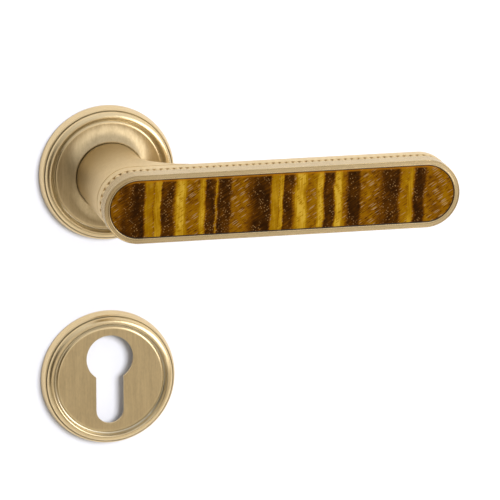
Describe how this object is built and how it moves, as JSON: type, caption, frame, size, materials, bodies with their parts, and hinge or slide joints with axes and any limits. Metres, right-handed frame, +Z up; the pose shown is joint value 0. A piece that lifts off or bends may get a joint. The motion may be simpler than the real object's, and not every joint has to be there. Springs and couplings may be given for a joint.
{
  "type": "door lever handle with euro profile escutcheon",
  "caption": "Sprung door lever with a beaded, stone-inlaid grip on a round rose, and a matching round escutcheon with a euro-profile cylinder hole.",
  "frame": {"origin": "where the spindle axis crosses the door face, at the centre of the rose's rear face", "axes": "+X along the grip towards its tip, +Y into the door along the spindle, +Z up; the room side is -Y and the escutcheon lies at -Z"},
  "size_m": [0.1484, 0.1061, 0.1323],
  "materials": {
    "satin_brass": "satin brushed, champagne gold",
    "cast_zinc": "as cast",
    "zinc_plated_steel": "zinc plated",
    "spring_steel": "oiled",
    "black_steel": "black oxide",
    "nylon": "moulded",
    "dark_epoxy": "cured adhesive",
    "tiger_eye": "polished, banded golden brown"
  },
  "bodies": {
    "door_fixings": {"rose_cover": "satin_brass", "rose_base": "cast_zinc", "rose_back_plate": "zinc_plated_steel", "neck_bush": "nylon", "thrust_washer": "nylon", "stop_pins": "spring_steel", "return_spring": "spring_steel", "rose_screws": "zinc_plated_steel", "rose_snap_ring": "spring_steel", "escutcheon_cover": "satin_brass", "escutcheon_base": "cast_zinc", "escutcheon_screws": "zinc_plated_steel", "escutcheon_snap_ring": "spring_steel"},
    "lever": {"lever_body": "satin_brass", "beaded_trim": "satin_brass", "inlay_bezel": "satin_brass", "inlay_bed": "dark_epoxy", "stone_inlay": "tiger_eye", "spindle": "zinc_plated_steel", "spindle_grub_screw": "black_steel", "drive_rotor": "zinc_plated_steel", "circlip": "spring_steel"}
  },
  "joints": [
    {"name": "lever_turn", "type": "hinge", "parent": "door_fixings", "child": "lever", "pos_m": [0, 0, 0], "axis": [0, 1, 0], "range_deg": [0, 45], "stiffness_Nm_per_rad": 0.55, "springref_deg": -57.3, "deforming": ["return_spring"]}
  ]
}
